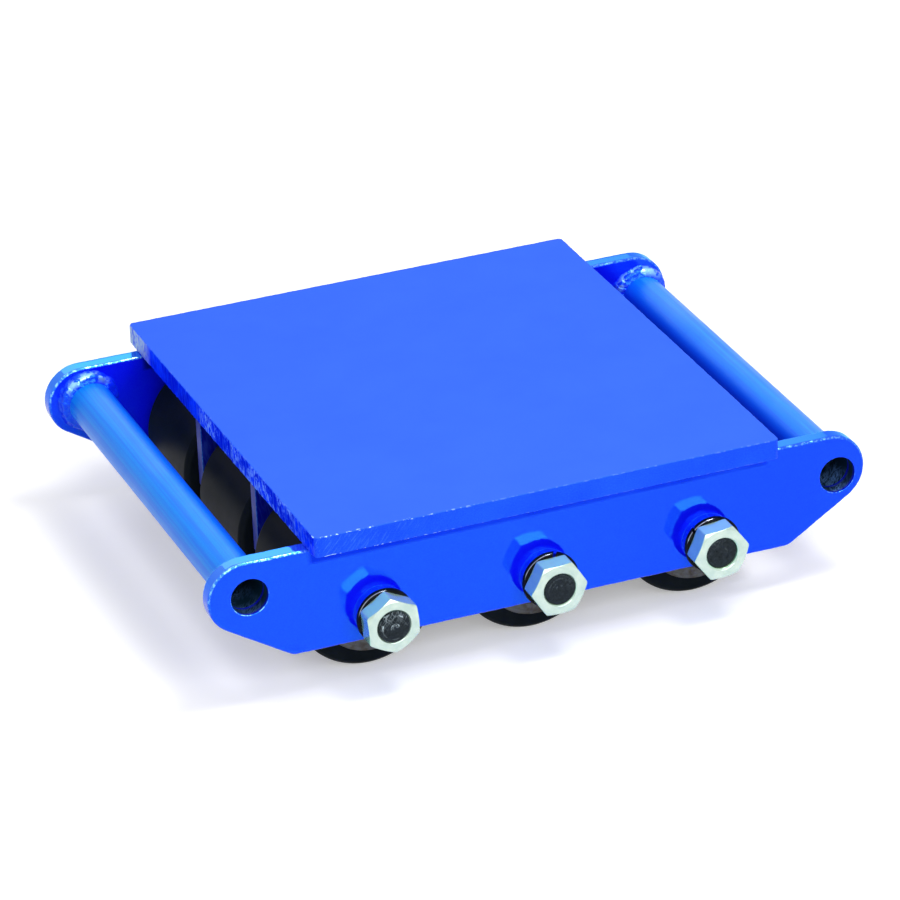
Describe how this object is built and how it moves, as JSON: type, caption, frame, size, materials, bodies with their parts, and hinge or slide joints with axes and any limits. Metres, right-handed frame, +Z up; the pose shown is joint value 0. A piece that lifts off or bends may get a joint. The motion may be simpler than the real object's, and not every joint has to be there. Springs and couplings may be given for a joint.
{
  "type": "machine skate",
  "caption": "Low welded steel skate with a flat load plate on rows of wide rollers, and a tow tube between rounded lugs at each end.",
  "frame": {"origin": "centre of the outer box on the floor that the rollers stand on", "axes": "+X along the travel, towards the end whose bore is drilled nearer its lug's end; +Y along the axles, away from the near side plate; +Z up, out of the load plate"},
  "size_m": [0.4, 0.339, 0.102],
  "materials": {
    "plate_paint": "bright blue gloss enamel",
    "frame_paint": "deep blue gloss enamel",
    "worn_paint": "thin blue enamel over flame-cut steel",
    "tube_paint": "blue gloss enamel",
    "zinc": "satin zinc plate",
    "washer_steel": "black oxide, semi-gloss",
    "black_steel": "black oxide, satin",
    "tyre": "satin black cast nylon",
    "core_steel": "rough turned, lightly rusted",
    "bearing_steel": "ground"
  },
  "bodies": {
    "frame": {"top_plate": "plate_paint", "side_plate_near": "frame_paint", "side_plate_far": "frame_paint", "rib_near": "worn_paint", "rib_far": "worn_paint", "tow_tube_left": "tube_paint", "tow_tube_right": "tube_paint", "tube_welds": "tube_paint", "plate_welds": "frame_paint", "axle_left": "black_steel", "axle_middle": "black_steel", "axle_right": "black_steel", "axle_bosses": "frame_paint", "spring_washers": "washer_steel", "axle_nuts": "zinc", "distance_rings": "bearing_steel", "bearing_inner_rings": "bearing_steel", "bearing_sleeves": "bearing_steel"},
    "roller_left_near": {"tyre_left_near": "tyre", "core_left_near": "core_steel", "bearings_left_near": "bearing_steel", "balls_left_near": "bearing_steel"},
    "roller_left_centre": {"tyre_left_centre": "tyre", "core_left_centre": "core_steel", "bearings_left_centre": "bearing_steel", "balls_left_centre": "bearing_steel"},
    "roller_left_far": {"tyre_left_far": "tyre", "core_left_far": "core_steel", "bearings_left_far": "bearing_steel", "balls_left_far": "bearing_steel"},
    "roller_middle_near": {"tyre_middle_near": "tyre", "core_middle_near": "core_steel", "bearings_middle_near": "bearing_steel", "balls_middle_near": "bearing_steel"},
    "roller_middle_centre": {"tyre_middle_centre": "tyre", "core_middle_centre": "core_steel", "bearings_middle_centre": "bearing_steel", "balls_middle_centre": "bearing_steel"},
    "roller_middle_far": {"tyre_middle_far": "tyre", "core_middle_far": "core_steel", "bearings_middle_far": "bearing_steel", "balls_middle_far": "bearing_steel"},
    "roller_right_near": {"tyre_right_near": "tyre", "core_right_near": "core_steel", "bearings_right_near": "bearing_steel", "balls_right_near": "bearing_steel"},
    "roller_right_centre": {"tyre_right_centre": "tyre", "core_right_centre": "core_steel", "bearings_right_centre": "bearing_steel", "balls_right_centre": "bearing_steel"},
    "roller_right_far": {"tyre_right_far": "tyre", "core_right_far": "core_steel", "bearings_right_far": "bearing_steel", "balls_right_far": "bearing_steel"}
  },
  "joints": [
    {"name": "roll_left_near", "type": "hinge", "parent": "frame", "child": "roller_left_near", "pos_m": [-0.1, -0.09267, 0.043], "axis": [0, 1, 0], "continuous": true},
    {"name": "roll_left_centre", "type": "hinge", "parent": "frame", "child": "roller_left_centre", "pos_m": [-0.1, 0, 0.043], "axis": [0, 1, 0], "continuous": true},
    {"name": "roll_left_far", "type": "hinge", "parent": "frame", "child": "roller_left_far", "pos_m": [-0.1, 0.09267, 0.043], "axis": [0, 1, 0], "continuous": true},
    {"name": "roll_middle_near", "type": "hinge", "parent": "frame", "child": "roller_middle_near", "pos_m": [0, -0.09267, 0.043], "axis": [0, 1, 0], "continuous": true},
    {"name": "roll_middle_centre", "type": "hinge", "parent": "frame", "child": "roller_middle_centre", "pos_m": [0, 0, 0.043], "axis": [0, 1, 0], "continuous": true},
    {"name": "roll_middle_far", "type": "hinge", "parent": "frame", "child": "roller_middle_far", "pos_m": [0, 0.09267, 0.043], "axis": [0, 1, 0], "continuous": true},
    {"name": "roll_right_near", "type": "hinge", "parent": "frame", "child": "roller_right_near", "pos_m": [0.1, -0.09267, 0.043], "axis": [0, 1, 0], "continuous": true},
    {"name": "roll_right_centre", "type": "hinge", "parent": "frame", "child": "roller_right_centre", "pos_m": [0.1, 0, 0.043], "axis": [0, 1, 0], "continuous": true},
    {"name": "roll_right_far", "type": "hinge", "parent": "frame", "child": "roller_right_far", "pos_m": [0.1, 0.09267, 0.043], "axis": [0, 1, 0], "continuous": true}
  ]
}
